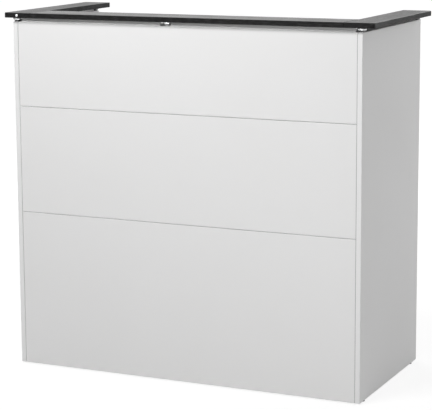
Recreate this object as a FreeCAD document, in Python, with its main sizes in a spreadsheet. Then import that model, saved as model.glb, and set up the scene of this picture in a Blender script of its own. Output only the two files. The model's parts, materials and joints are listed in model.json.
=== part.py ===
import FreeCAD, Part
import math
import os
import Sketcher

# Reception desk: a white board carcass of two sides and three stacked fronts, a dark U-shaped
# counter on turned stand-offs above it, and the clerk's worktop inside.
# Millimetres, +Z up. The visitor stands at -Y, +X is to the visitor's right.
# The origin lies on the floor under the middle of the desk's box.

Vector = FreeCAD.Vector
doc = FreeCAD.newDocument("reception_desk")
sheet = doc.addObject("Spreadsheet::Sheet", "dims")


class Size:
    """A length with its present number and the sheet expression that gives it."""

    def __init__(self, number, text):
        self.number = number
        self.text = text

    def joined(self, other, sign, number, swapped=False):
        other_text = other.text if isinstance(other, Size) else repr(other)
        pair = (other_text, self.text) if swapped else (self.text, other_text)
        return Size(number, f"({pair[0]} {sign} {pair[1]})")

    def __add__(self, other):
        return self.joined(other, "+", self.number + number_of(other))

    def __radd__(self, other):
        return self.joined(other, "+", number_of(other) + self.number, swapped=True)

    def __sub__(self, other):
        return self.joined(other, "-", self.number - number_of(other))

    def __rsub__(self, other):
        return self.joined(other, "-", number_of(other) - self.number, swapped=True)

    def __mul__(self, other):
        return self.joined(other, "*", self.number * number_of(other))

    def __rmul__(self, other):
        return self.joined(other, "*", number_of(other) * self.number, swapped=True)

    def __truediv__(self, other):
        return self.joined(other, "/", self.number / number_of(other))

    def __neg__(self):
        return 0 - self


def number_of(value):
    return value.number if isinstance(value, Size) else value


def length(name, number):
    """Writes one driving dimension to the sheet and returns it."""
    length.row += 1
    sheet.set(f"A{length.row}", name)
    sheet.set(f"B{length.row}", str(number))
    sheet.setAlias(f"B{length.row}", name)
    return Size(number, f"dims.{name}")


length.row = 0

# Main sizes
overall_height = length("overall_height", 1150)
body_width = length("body_width", 1180)
body_depth = length("body_depth", 540)
panel_thickness = length("panel_thickness", 16)
arris_width = length("arris_width", 1)
foot_gap = length("foot_gap", 4)

# Fronts
lower_joint_height = length("lower_joint_height", 508)
upper_joint_height = length("upper_joint_height", 852)
joint_gap = length("joint_gap", 1)
front_inset = length("front_inset", 1)
rail_depth = length("rail_depth", 110)

# Counter
counter_thickness = length("counter_thickness", 16)
counter_overhang = length("counter_overhang", 35)
return_width = length("return_width", 94)
counter_front_depth = length("counter_front_depth", 126)
counter_corner_radius = length("counter_corner_radius", 10)

# Stand-offs between the carcass and the counter
standoff_height = length("standoff_height", 12)
standoff_top_diameter = length("standoff_top_diameter", 28)
standoff_waist_diameter = length("standoff_waist_diameter", 19)
standoff_lip = length("standoff_lip", 3)
standoff_end_inset = length("standoff_end_inset", 14)
middle_standoff_shift = length("middle_standoff_shift", 54)
middle_standoff_setback = length("middle_standoff_setback", 10)
stud_diameter = length("stud_diameter", 8)
stud_clearance = length("stud_clearance", 0.25)
insert_diameter = length("insert_diameter", 11)
panel_insert_length = length("panel_insert_length", 13)
counter_insert_length = length("counter_insert_length", 13)
insert_floor = length("insert_floor", 2)

# Round cap in the front end of the left return
edge_cap_diameter = length("edge_cap_diameter", 10)
edge_cap_thickness = length("edge_cap_thickness", 2)
edge_cap_stem_diameter = length("edge_cap_stem_diameter", 6)
edge_cap_stem_clearance = length("edge_cap_stem_clearance", 2)

# Worktop and its angles
worktop_height = length("worktop_height", 740)
worktop_thickness = length("worktop_thickness", 25)
worktop_end_gap = length("worktop_end_gap", 1)
worktop_rear_inset = length("worktop_rear_inset", 10)
worktop_nose_radius = length("worktop_nose_radius", 4)
bracket_leg = length("bracket_leg", 40)
bracket_gauge = length("bracket_gauge", 3)
bracket_bend_radius = length("bracket_bend_radius", 2)
side_bracket_length = length("side_bracket_length", 400)
front_bracket_length = length("front_bracket_length", 320)
bracket_end_margin = length("bracket_end_margin", 40)
bracket_hole_height = length("bracket_hole_height", 22)
screw_diameter = length("screw_diameter", 4)
screw_length = length("screw_length", 14)
screw_head_diameter = length("screw_head_diameter", 8)
screw_head_height = length("screw_head_height", 2.6)
screw_hole_clearance = length("screw_hole_clearance", 0.3)

# Cable outlet in the worktop
grommet_hole_diameter = length("grommet_hole_diameter", 62)
grommet_flange_diameter = length("grommet_flange_diameter", 74)
grommet_flange_height = length("grommet_flange_height", 2)
grommet_wall = length("grommet_wall", 2)
grommet_ledge = length("grommet_ledge", 3)
grommet_cap_thickness = length("grommet_cap_thickness", 3)
grommet_cap_clearance = length("grommet_cap_clearance", 0.3)
cable_notch_width = length("cable_notch_width", 22)
cable_notch_depth = length("cable_notch_depth", 16)
grommet_from_end = length("grommet_from_end", 213)
grommet_from_front = length("grommet_from_front", 90)

# Knock-down fittings
cam_diameter = length("cam_diameter", 15)
cam_height = length("cam_height", 13)
cam_distance = length("cam_distance", 34)
cam_slot_width = length("cam_slot_width", 2)
cam_slot_length = length("cam_slot_length", 9)
cam_slot_depth = length("cam_slot_depth", 2.5)
bolt_thread_diameter = length("bolt_thread_diameter", 5)
bolt_thread_length = length("bolt_thread_length", 11)
bolt_shank_diameter = length("bolt_shank_diameter", 6)
bolt_channel_diameter = length("bolt_channel_diameter", 8)
dowel_diameter = length("dowel_diameter", 8)
dowel_blind_depth = length("dowel_blind_depth", 12)
dowel_panel_depth = length("dowel_panel_depth", 23)
front_dowel_margin = length("front_dowel_margin", 40)
rail_dowel_margin = length("rail_dowel_margin", 22)
counter_dowel_margin = length("counter_dowel_margin", 24)

# Levelling feet
foot_pad_diameter = length("foot_pad_diameter", 15)
foot_pad_clearance = length("foot_pad_clearance", 0.4)
foot_stud_diameter = length("foot_stud_diameter", 8)
foot_stud_length = length("foot_stud_length", 28)
foot_thread_clearance = length("foot_thread_clearance", 0.1)
foot_socket_diameter = length("foot_socket_diameter", 12)
foot_socket_length = length("foot_socket_length", 34)
foot_end_inset = length("foot_end_inset", 45)

# Places that follow from the sizes
body_top = overall_height - counter_thickness - standoff_height
panel_height = body_top - foot_gap
inner_width = body_width - 2 * panel_thickness
counter_width = body_width + 2 * counter_overhang
counter_bottom = body_top + standoff_height
front_face = -body_depth / 2
side_inner_face = inner_width / 2
side_middle = body_width / 2 - panel_thickness / 2
fronts_back = front_face + front_inset + panel_thickness
bolt_depth = panel_thickness / 2
worktop_bottom = worktop_height - worktop_thickness
worktop_width = inner_width - 2 * worktop_end_gap
worktop_front = fronts_back + worktop_end_gap
worktop_depth = body_depth / 2 - worktop_rear_inset - worktop_front
middle_standoff_y = fronts_back + middle_standoff_setback
counter_front_length = counter_width - 2 * return_width

# How a board's own X, Y and Z lie in the desk
FLAT = FreeCAD.Rotation()
FACING_FRONT = FreeCAD.Rotation(Vector(1, 0, 0), 90)
FACING_SIDE = FreeCAD.Rotation(Vector(1, 1, 1), 120)
QUARTER_TURN = FreeCAD.Rotation(Vector(0, 0, 1), 90)
TURN_BACK = FreeCAD.Rotation(Vector(0, 0, 1), 180)
UPSIDE_DOWN = FreeCAD.Rotation(Vector(1, 0, 0), 180)
TO_LEFT = FreeCAD.Rotation(Vector(0, 1, 0), -90)
TO_RIGHT = FreeCAD.Rotation(Vector(0, 1, 0), 90)
TO_FRONT = FreeCAD.Rotation(Vector(1, 0, 0), 90)

# Hidden fittings and their holes are flat-sided, with their corners on the true circle.
# Each count is a multiple of 4, so that a quarter turn leaves the section as it is.
FITTING_SIDES = 8
CAM_SIDES = 12
ROUND = None

# Less than this is no distance
TINY = 1e-6


def bind(obj, prop, size):
    """Ties a property to the sheet."""
    obj.setExpression(prop, size.text if isinstance(size, Size) else repr(size))


def new_body(label, turn=FLAT, place=(0, 0, 0)):
    body = doc.addObject("PartDesign::Body", label)
    body.Label = label
    body.Placement = FreeCAD.Placement(Vector(*map(number_of, place)), turn)
    for axis, value in zip("xyz", place):
        bind(body, f".Placement.Base.{axis}", value)
    return body


def new_sketch(body, name, plane, at=0):
    """A sketch on one of the body's own origin planes, moved along the plane's normal."""
    sketch = body.newObject("Sketcher::SketchObject", name)
    planes = {feature.Role: feature for feature in body.Origin.OriginFeatures}
    sketch.AttachmentSupport = [(planes[plane], "")]
    sketch.MapMode = "FlatFace"
    bind(sketch, ".AttachmentOffset.Base.z", at)
    return sketch


def pin(sketch, geometry, point, x, y):
    """Holds one point of a sketch at given distances from the sketch's origin."""
    for kind, axis, value in (("DistanceX", -2, x), ("DistanceY", -1, y)):
        number = number_of(value)
        if number == 0:
            sketch.addConstraint(Sketcher.Constraint("PointOnObject", geometry, point, axis))
            continue
        ends = (-1, 1, geometry, point) if number > 0 else (geometry, point, -1, 1)
        index = sketch.addConstraint(Sketcher.Constraint(kind, *ends, abs(number)))
        bind(sketch, f"Constraints[{index}]", value if number > 0 else 0 - value)


def add_polygon(sketch, corners):
    """A closed outline whose every corner is tied to the sheet."""
    points = [Vector(number_of(x), number_of(y), 0) for x, y in corners]
    first = sketch.GeometryCount
    count = len(points)
    for index in range(count):
        sketch.addGeometry(Part.LineSegment(points[index], points[(index + 1) % count]))
    for index in range(count):
        following = first + (index + 1) % count
        sketch.addConstraint(Sketcher.Constraint("Coincident", first + index, 2, following, 1))
    for index, (x, y) in enumerate(corners):
        pin(sketch, first + index, 1, x, y)


def add_circle(sketch, x, y, diameter):
    centre = Vector(number_of(x), number_of(y), 0)
    radius = number_of(diameter) / 2
    circle = sketch.addGeometry(Part.Circle(centre, Vector(0, 0, 1), radius))
    pin(sketch, circle, 3, x, y)
    index = sketch.addConstraint(Sketcher.Constraint("Diameter", circle, 2 * radius))
    bind(sketch, f"Constraints[{index}]", diameter)


def add_section(sketch, x, y, diameter, sides):
    """A circle or, where sides are given, a regular polygon with its corners on that circle."""
    if sides is ROUND:
        add_circle(sketch, x, y, diameter)
        return
    corners = []
    for index in range(sides):
        turn = 2 * math.pi * index / sides
        across = round(math.cos(turn), 6)
        along = round(math.sin(turn), 6)
        corners.append((x + diameter / 2 * across, y + diameter / 2 * along))
    add_polygon(sketch, corners)


def add_pad(body, sketch, height):
    pad = body.newObject("PartDesign::Pad", "pad")
    pad.Profile = sketch
    bind(pad, "Length", height)
    doc.recompute()
    return pad


def cut_pocket(body, sketch, depth, reverse):
    """Pockets a sketch and makes sure that it did cut."""
    volume = body.Shape.Volume
    pocket = body.newObject("PartDesign::Pocket", "pocket")
    pocket.Profile = sketch
    bind(pocket, "Length", depth)
    pocket.Reversed = reverse
    doc.recompute()
    if body.Shape.Volume >= volume:
        raise RuntimeError(f"a pocket in {body.Label} cuts nothing")


def drill(body, plane, at, inward, holes, depth, sides=FITTING_SIDES):
    """Holes (x, y, diameter) from a face at a distance along the plane's axis.

    inward is 1 where the holes run towards the plus side of that axis, else -1.
    """
    facing = -1 if plane == "XZ_Plane" else 1
    sketch = new_sketch(body, "holes", plane, at * facing)
    for x, y, diameter in holes:
        add_section(sketch, x, y, diameter, sides)
    cut_pocket(body, sketch, depth, reverse=inward == facing)


def dress_edges(body, kind, prop, size, chosen):
    """Fillets or chamfers the edges of the body's present shape for which chosen(edge) is true."""
    base = body.Tip
    edges = [f"Edge{i + 1}" for i, edge in enumerate(base.Shape.Edges) if chosen(edge)]
    dressing = body.newObject(f"PartDesign::{kind}", kind.lower())
    dressing.Base = (base, edges)
    bind(dressing, prop, size)
    doc.recompute()


def round_edges(body, radius, chosen):
    dress_edges(body, "Fillet", "Radius", radius, chosen)


def chamfer_edges(body, width, chosen):
    dress_edges(body, "Chamfer", "Size", width, chosen)


def is_upright(edge, x, y):
    """True for an edge along the board's thickness at a corner of its outline."""
    box = edge.BoundBox
    there = abs(box.Center.x - number_of(x)) < TINY and abs(box.Center.y - number_of(y)) < TINY
    return there and box.ZLength > max(box.XLength, box.YLength)


def board(label, width, height, thickness, turn, place, rounded_corner=None, butted_at=()):
    """A faced board with broken edges, perhaps with one corner rounded.

    butted_at gives the places along X of edges that stay square because another board butts there.
    """
    body = new_body(label, turn, place)
    outline = new_sketch(body, "outline", "XY_Plane")
    add_polygon(outline, [(0, 0), (width, 0), (width, height), (0, height)])
    add_pad(body, outline, thickness)
    if rounded_corner:
        x, y = rounded_corner
        round_edges(body, counter_corner_radius, lambda edge: is_upright(edge, x, y))
    butted = [number_of(x) for x in butted_at]

    def is_broken(edge):
        box = edge.BoundBox
        is_butted = box.XLength < TINY and any(abs(box.XMin - x) < TINY for x in butted)
        return box.ZLength < TINY and not is_butted

    chamfer_edges(body, arris_width, is_broken)
    return body


def turned(label, profile):
    """A piece turned about its own Z axis from (radius, height) corners."""
    body = new_body(label)
    half = new_sketch(body, "half", "XZ_Plane")
    add_polygon(half, profile)
    revolution = body.newObject("PartDesign::Revolution", "revolution")
    revolution.Profile = half
    revolution.ReferenceAxis = (half, ["V_Axis"])
    revolution.Angle = 360
    doc.recompute()
    return body


def stepped(label, steps, sides=FITTING_SIDES):
    """Flat-sided steps one above the other on the piece's own Z axis, each (diameter, from, to)."""
    body = new_body(label)
    for diameter, low, high in steps:
        section = new_sketch(body, "section", "XY_Plane", low)
        add_section(section, 0, 0, diameter, sides)
        add_pad(body, section, high - low)
    return body


def group(label, master, places):
    """Identical pieces in one node, each a copy of the master at its own place."""
    copies = []
    for place in places:
        copy = master.Shape.copy()
        copy.Placement = place
        copies.append(copy)
    feature = doc.addObject("Part::Feature", label)
    feature.Label = label
    feature.Shape = Part.makeCompound(copies)
    return feature


def spot(x, y, z, turn=FLAT):
    return FreeCAD.Placement(Vector(*map(number_of, (x, y, z))), turn)


# Where the fittings go, filled by the boards that they join
cam_places = []
bolt_places = []
dowel_places = []


def joint_ends(body, span, cams, dowels):
    """Drills both ends of a board for cams and dowels and notes where these go.

    cams and dowels are distances along the board's own Y. The cams enter from the face at Z = 0.
    """
    for end, inward in ((0, 1), (span, -1)):
        into_end = cam_distance if inward == 1 else span - cam_distance
        seats = [(into_end, y, cam_diameter) for y in cams]
        drill(body, "XY_Plane", 0, 1, seats, cam_height, CAM_SIDES)
        channels = [(y, bolt_depth, bolt_channel_diameter) for y in cams]
        drill(body, "YZ_Plane", end, inward, channels, cam_distance)
        bores = [(y, bolt_depth, dowel_diameter) for y in dowels]
        drill(body, "YZ_Plane", end, inward, bores, dowel_panel_depth)
        turn = FLAT if inward == 1 else TURN_BACK
        frame = body.Placement
        for y in cams:
            cam_places.append(frame.multiply(spot(into_end, y, 0, turn)))
            bolt_places.append(frame.multiply(spot(end, y, bolt_depth, turn)))
        for y in dowels:
            dowel_places.append(frame.multiply(spot(end, y, bolt_depth, turn)))


# Fronts: three stacked boards between the sides
front_rows = {
    "front_panel_lower": (foot_gap, lower_joint_height - joint_gap / 2),
    "front_panel_middle": (lower_joint_height + joint_gap / 2, upper_joint_height - joint_gap / 2),
    "front_panel_upper": (upper_joint_height + joint_gap / 2, body_top),
}
fronts = {}
# Bolt and dowel holes of the sides as (depth, height, diameter) in the side's own plane
side_bolt_holes = []
side_dowel_holes = []
for name, (bottom, top) in front_rows.items():
    height = top - bottom
    place = (-side_inner_face, fronts_back, bottom)
    fronts[name] = board(name, inner_width, height, panel_thickness, FACING_FRONT, place)
    cams = [height / 2]
    dowels = [front_dowel_margin, height - front_dowel_margin]
    joint_ends(fronts[name], inner_width, cams, dowels)
    across = front_inset + panel_thickness - bolt_depth
    for y in cams:
        side_bolt_holes.append((across, bottom - foot_gap + y, bolt_thread_diameter))
    for y in dowels:
        side_dowel_holes.append((across, bottom - foot_gap + y, dowel_diameter))

# Rail behind the upper front, flush with its top
rail_bottom = body_top - panel_thickness
top_rail = board(
    "top_rail", inner_width, rail_depth, panel_thickness, FLAT, (-side_inner_face, fronts_back, rail_bottom)
)
rail_cams = [rail_depth / 2]
rail_dowels = [rail_dowel_margin, rail_depth - rail_dowel_margin]
joint_ends(top_rail, inner_width, rail_cams, rail_dowels)
for y in rail_cams:
    side_bolt_holes.append((fronts_back - front_face + y, panel_height - bolt_depth, bolt_thread_diameter))
for y in rail_dowels:
    side_dowel_holes.append((fronts_back - front_face + y, panel_height - bolt_depth, dowel_diameter))
middle_insert_x = side_inner_face - middle_standoff_shift
drill(
    top_rail,
    "XY_Plane",
    panel_thickness,
    -1,
    [(middle_insert_x, middle_standoff_setback, insert_diameter)],
    panel_insert_length,
)

# Angles under the worktop, two on the sides and one on the middle front
side_bracket_start = (body_depth - side_bracket_length) / 2
bracket_hole_ys = {
    "side": (bracket_end_margin, side_bracket_length - bracket_end_margin),
    "front": (bracket_end_margin, front_bracket_length - bracket_end_margin),
}
screw_places = []


def angle(label, span, turn, place, hole_ys):
    """Steel angle: an L section along its own Y, upright leg at X = 0, flat leg on top."""
    body = new_body(label, turn, place)
    section = new_sketch(body, "section", "XZ_Plane")
    corners = [
        (0, -bracket_leg),
        (bracket_gauge, -bracket_leg),
        (bracket_gauge, -bracket_gauge),
        (bracket_leg, -bracket_gauge),
        (bracket_leg, 0),
        (0, 0),
    ]
    add_polygon(section, corners)
    pad = add_pad(body, section, span)
    pad.Reversed = True
    doc.recompute()
    inner_x = number_of(bracket_gauge)
    inner_z = -number_of(bracket_gauge)

    def is_inner_bend(edge):
        centre = edge.BoundBox.Center
        return abs(centre.x - inner_x) < TINY and abs(centre.z - inner_z) < TINY

    round_edges(body, bracket_bend_radius, is_inner_bend)
    hole = screw_diameter + 2 * screw_hole_clearance
    drill(body, "YZ_Plane", 0, 1, [(y, 0 - bracket_hole_height, hole) for y in hole_ys], bracket_gauge)
    drill(body, "XY_Plane", 0, -1, [(bracket_hole_height, y, hole) for y in hole_ys], bracket_gauge)
    frame = body.Placement
    for y in hole_ys:
        into_panel = spot(bracket_gauge, y, 0 - bracket_hole_height, TO_LEFT)
        into_worktop = spot(bracket_hole_height, y, 0 - bracket_gauge)
        screw_places.append(frame.multiply(into_panel))
        screw_places.append(frame.multiply(into_worktop))
    return body


side_bracket_y = front_face + side_bracket_start
bracket_left = angle(
    "bracket_left",
    side_bracket_length,
    FLAT,
    (-side_inner_face, side_bracket_y, worktop_bottom),
    bracket_hole_ys["side"],
)
bracket_right = angle(
    "bracket_right",
    side_bracket_length,
    TURN_BACK,
    (side_inner_face, side_bracket_y + side_bracket_length, worktop_bottom),
    bracket_hole_ys["side"],
)
bracket_front = angle(
    "bracket_front",
    front_bracket_length,
    QUARTER_TURN,
    (front_bracket_length / 2, fronts_back, worktop_bottom),
    bracket_hole_ys["front"],
)
pilot_depth = screw_length - bracket_gauge
front_pilot_height = worktop_bottom - bracket_hole_height - (lower_joint_height + joint_gap / 2)
front_pilot_xs = [
    side_inner_face - front_bracket_length / 2 + y for y in bracket_hole_ys["front"]
]
drill(
    fronts["front_panel_middle"],
    "XY_Plane",
    0,
    1,
    [(x, front_pilot_height, screw_diameter) for x in front_pilot_xs],
    pilot_depth,
)

# Sides
side_pilots = [
    (side_bracket_start + y, worktop_bottom - foot_gap - bracket_hole_height, screw_diameter)
    for y in bracket_hole_ys["side"]
]
standoff_depths = (standoff_end_inset, body_depth - standoff_end_inset)
foot_depths = (foot_end_inset, body_depth - foot_end_inset)
sides = {}
for name, x, inner_face, inward in (
    ("side_panel_left", -body_width / 2, panel_thickness, -1),
    ("side_panel_right", side_inner_face, 0, 1),
):
    side = board(name, body_depth, panel_height, panel_thickness, FACING_SIDE, (x, front_face, foot_gap))
    drill(side, "XY_Plane", inner_face, inward, side_bolt_holes, bolt_thread_length)
    drill(side, "XY_Plane", inner_face, inward, side_dowel_holes, dowel_blind_depth)
    drill(side, "XY_Plane", inner_face, inward, side_pilots, pilot_depth)
    inserts = [(y, panel_thickness / 2, insert_diameter) for y in standoff_depths]
    drill(side, "XZ_Plane", panel_height, -1, inserts, panel_insert_length)
    sockets = [(y, panel_thickness / 2, foot_socket_diameter) for y in foot_depths]
    drill(side, "XZ_Plane", 0, 1, sockets, foot_socket_length)
    sides[name] = side

# Worktop
worktop = new_body("worktop", FLAT, (-worktop_width / 2, worktop_front, worktop_bottom))
worktop_outline = new_sketch(worktop, "outline", "XY_Plane")
add_polygon(
    worktop_outline,
    [(0, 0), (worktop_width, 0), (worktop_width, worktop_depth), (0, worktop_depth)],
)
add_pad(worktop, worktop_outline, worktop_thickness)


def is_worktop_nose(edge):
    """True for the two long edges on the clerk's side."""
    box = edge.BoundBox
    is_long = box.XLength > number_of(worktop_width) - TINY
    return is_long and box.YMin > number_of(worktop_depth) - TINY


round_edges(worktop, worktop_nose_radius, is_worktop_nose)
grommet_x = worktop_width - grommet_from_end
drill(
    worktop,
    "XY_Plane",
    worktop_thickness,
    -1,
    [(grommet_x, grommet_from_front, grommet_hole_diameter)],
    worktop_thickness,
    ROUND,
)
side_screw_ys = [side_bracket_y + y - worktop_front for y in bracket_hole_ys["side"]]
left_screw_x = bracket_hole_height - worktop_end_gap
front_screw_y = bracket_hole_height - worktop_end_gap
front_screw_xs = [
    worktop_width / 2 - front_bracket_length / 2 + y for y in bracket_hole_ys["front"]
]
worktop_pilots = [(left_screw_x, y, screw_diameter) for y in side_screw_ys]
worktop_pilots += [(worktop_width - left_screw_x, y, screw_diameter) for y in side_screw_ys]
worktop_pilots += [(x, front_screw_y, screw_diameter) for x in front_screw_xs]
drill(worktop, "XY_Plane", 0, 1, worktop_pilots, pilot_depth)

# Counter: two returns over the full depth, the front board butted between them
counter_front = board(
    "counter_front",
    counter_front_length,
    counter_front_depth,
    counter_thickness,
    FLAT,
    (-counter_front_length / 2, front_face, counter_bottom),
    butted_at=(0, counter_front_length),
)
counter_cams = [counter_front_depth / 2]
counter_dowels = [counter_dowel_margin, counter_front_depth - counter_dowel_margin]
joint_ends(counter_front, counter_front_length, counter_cams, counter_dowels)
middle_counter_x = counter_front_length / 2 - middle_standoff_shift
middle_counter_y = middle_standoff_y - front_face
drill(
    counter_front,
    "XY_Plane",
    0,
    1,
    [(middle_counter_x, middle_counter_y, insert_diameter)],
    counter_insert_length,
)
returns = {}
for name, x, outer_x, inner_x, inward, standoff_x in (
    ("counter_left", -counter_width / 2, 0, return_width, -1, counter_overhang + panel_thickness / 2),
    (
        "counter_right",
        counter_width / 2 - return_width,
        return_width,
        0,
        1,
        return_width - counter_overhang - panel_thickness / 2,
    ),
):
    arm = board(
        name,
        return_width,
        body_depth,
        counter_thickness,
        FLAT,
        (x, front_face, counter_bottom),
        rounded_corner=(outer_x, 0),
        butted_at=(inner_x,),
    )
    bolts = [(y, bolt_depth, bolt_thread_diameter) for y in counter_cams]
    drill(arm, "YZ_Plane", inner_x, inward, bolts, bolt_thread_length)
    pegs = [(y, bolt_depth, dowel_diameter) for y in counter_dowels]
    drill(arm, "YZ_Plane", inner_x, inward, pegs, dowel_blind_depth)
    inserts = [(standoff_x, y, insert_diameter) for y in standoff_depths]
    drill(arm, "XY_Plane", 0, 1, inserts, counter_insert_length)
    returns[name] = arm

# Cap in the front end of the left return, flush with it
cap_x = return_width / 2
cap_z = counter_thickness / 2
# The stem stops short of the insert behind it
edge_cap_stem_length = standoff_end_inset - insert_diameter / 2 - edge_cap_stem_clearance
left_arm = returns["counter_left"]
drill(left_arm, "XZ_Plane", 0, 1, [(cap_x, cap_z, edge_cap_diameter)], edge_cap_thickness, ROUND)
drill(left_arm, "XZ_Plane", 0, 1, [(cap_x, cap_z, edge_cap_stem_diameter)], edge_cap_stem_length)
edge_cap = stepped(
    "edge_cap_left", [(edge_cap_stem_diameter, -edge_cap_stem_length, -edge_cap_thickness)]
)
cap_disc = new_sketch(edge_cap, "disc", "XY_Plane", -edge_cap_thickness)
add_section(cap_disc, 0, 0, edge_cap_diameter, ROUND)
add_pad(edge_cap, cap_disc, edge_cap_thickness)
cap_place = (cap_x - counter_width / 2, front_face, counter_bottom + cap_z)
edge_cap.Placement = spot(*cap_place, TO_FRONT)
for axis, value in zip("xyz", cap_place):
    bind(edge_cap, f".Placement.Base.{axis}", value)

# Stand-offs: a lip under the counter, then a taper down to the carcass
standoff_front_y = front_face + standoff_end_inset
standoff_spots = [(x, y) for x in (-side_middle, side_middle) for y in (standoff_front_y, -standoff_front_y)]
standoff_spots.append((-middle_standoff_shift, middle_standoff_y))
standoff_bore = stud_diameter + 2 * stud_clearance
standoff = turned(
    "standoff",
    [
        (0, 0),
        (standoff_waist_diameter / 2, 0),
        (standoff_waist_diameter / 2, standoff_lip),
        (standoff_top_diameter / 2, standoff_height - standoff_lip),
        (standoff_top_diameter / 2, standoff_height),
        (0, standoff_height),
    ],
)
drill(standoff, "XY_Plane", 0, 1, [(0, 0, standoff_bore)], standoff_height)


def bush(label, outer, bore, depth):
    """A flat-sided bush from Z = 0 down to its depth, with a closed floor."""
    body = stepped(label, [(outer, -depth, 0)])
    drill(body, "XY_Plane", 0, -1, [(0, 0, bore)], depth - insert_floor)
    return body


panel_insert = bush("panel_insert", insert_diameter, stud_diameter, panel_insert_length)
counter_insert = bush("counter_insert", insert_diameter, stud_diameter, counter_insert_length)
stud_below = panel_insert_length - insert_floor
stud_above = standoff_height + counter_insert_length - insert_floor
stud = stepped("stud", [(stud_diameter, -stud_below, stud_above)])
on_body = [spot(x, y, body_top) for x, y in standoff_spots]
in_counter = [spot(x, y, counter_bottom, UPSIDE_DOWN) for x, y in standoff_spots]
standoffs = group("standoffs", standoff, on_body)
panel_inserts = group("panel_inserts", panel_insert, on_body)
counter_inserts = group("counter_inserts", counter_insert, in_counter)
standoff_studs = group("standoff_studs", stud, on_body)

# Cam fittings: drum with a screwdriver slot, and a bolt that ends inside it
cam_radius = cam_diameter / 2
cam_master = stepped("cam", [(cam_diameter, 0, cam_height)], CAM_SIDES)
cam_slot = new_sketch(cam_master, "slot", "XY_Plane")
add_polygon(
    cam_slot,
    [
        (-cam_slot_width / 2, -cam_slot_length / 2),
        (cam_slot_width / 2, -cam_slot_length / 2),
        (cam_slot_width / 2, cam_slot_length / 2),
        (-cam_slot_width / 2, cam_slot_length / 2),
    ],
)
cut_pocket(cam_master, cam_slot, cam_slot_depth, reverse=True)
# The bolt comes from the board's end, which lies towards the drum's own -X
drill(cam_master, "YZ_Plane", -cam_radius, 1, [(0, bolt_depth, bolt_channel_diameter)], cam_radius)
bolt_steps = [(bolt_thread_diameter, -bolt_thread_length, 0), (bolt_shank_diameter, 0, cam_distance)]
bolt_master = stepped("bolt", bolt_steps)
dowel_master = stepped("dowel", [(dowel_diameter, -dowel_blind_depth, dowel_panel_depth)])
along_x = FreeCAD.Placement(Vector(), TO_RIGHT)
cam_housings = group("cam_housings", cam_master, cam_places)
cam_bolts = group("cam_bolts", bolt_master, [place.multiply(along_x) for place in bolt_places])
dowels_node = group("dowels", dowel_master, [place.multiply(along_x) for place in dowel_places])

# Bracket screws: shank along +Z from under the head
screw_steps = [(screw_head_diameter, -screw_head_height, 0), (screw_diameter, 0, screw_length)]
screw_master = stepped("screw", screw_steps)
bracket_screws = group("bracket_screws", screw_master, screw_places)

# Cable outlet: a flanged sleeve with a step in its bore, and a notched cap that turns on the step
sleeve_outer = grommet_hole_diameter / 2
sleeve_bore = sleeve_outer - grommet_wall
ledge_bore = sleeve_bore - grommet_ledge
cap_seat = grommet_flange_height - grommet_cap_thickness - grommet_cap_clearance
grommet_sleeve = turned(
    "grommet_sleeve",
    [
        (ledge_bore, -worktop_thickness),
        (sleeve_outer, -worktop_thickness),
        (sleeve_outer, 0),
        (grommet_flange_diameter / 2, 0),
        (grommet_flange_diameter / 2 - grommet_flange_height / 2, grommet_flange_height),
        (sleeve_bore, grommet_flange_height),
        (sleeve_bore, cap_seat),
        (ledge_bore, cap_seat),
    ],
)
cap_outer = sleeve_bore - grommet_cap_clearance
cap_bottom = cap_seat + grommet_cap_clearance
grommet_cap = turned(
    "grommet_cap",
    [
        (0, cap_bottom),
        (cap_outer, cap_bottom),
        (cap_outer, grommet_flange_height),
        (0, grommet_flange_height),
    ],
)
notch = new_sketch(grommet_cap, "notch", "XY_Plane", grommet_flange_height)
add_polygon(
    notch,
    [
        (-cable_notch_width / 2, cap_outer - cable_notch_depth),
        (cable_notch_width / 2, cap_outer - cable_notch_depth),
        (cable_notch_width / 2, cap_outer + cable_notch_depth),
        (-cable_notch_width / 2, cap_outer + cable_notch_depth),
    ],
)
cut_pocket(grommet_cap, notch, grommet_cap_thickness, reverse=False)
grommet_place = (grommet_x - worktop_width / 2, worktop_front + grommet_from_front, worktop_height)
for piece in (grommet_sleeve, grommet_cap):
    piece.Placement = spot(*grommet_place)
    for axis, value in zip("xyz", grommet_place):
        bind(piece, f".Placement.Base.{axis}", value)

# Levelling feet: a pad under the side's edge and a stud in a pressed-in socket
foot_spots = {
    "foot_front_left": (-side_middle, front_face + foot_end_inset),
    "foot_front_right": (side_middle, front_face + foot_end_inset),
    "foot_rear_left": (-side_middle, -front_face - foot_end_inset),
    "foot_rear_right": (side_middle, -front_face - foot_end_inset),
}
pad_top = foot_gap - foot_pad_clearance
feet = []
for name, (x, y) in foot_spots.items():
    foot = new_body(name, FLAT, (x, y, 0))
    foot_pad = new_sketch(foot, "pad_outline", "XY_Plane")
    add_circle(foot_pad, 0, 0, foot_pad_diameter)
    add_pad(foot, foot_pad, pad_top)
    foot_stud = new_sketch(foot, "stud", "XY_Plane", pad_top)
    add_section(foot_stud, 0, 0, foot_stud_diameter, FITTING_SIDES)
    add_pad(foot, foot_stud, foot_gap + foot_stud_length - pad_top)
    feet.append(foot)
socket_bore = foot_stud_diameter + 2 * foot_thread_clearance
foot_socket = bush("foot_socket", foot_socket_diameter, socket_bore, foot_socket_length)
socket_places = [spot(x, y, foot_gap, UPSIDE_DOWN) for x, y in foot_spots.values()]
foot_sockets = group("foot_sockets", foot_socket, socket_places)

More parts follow.
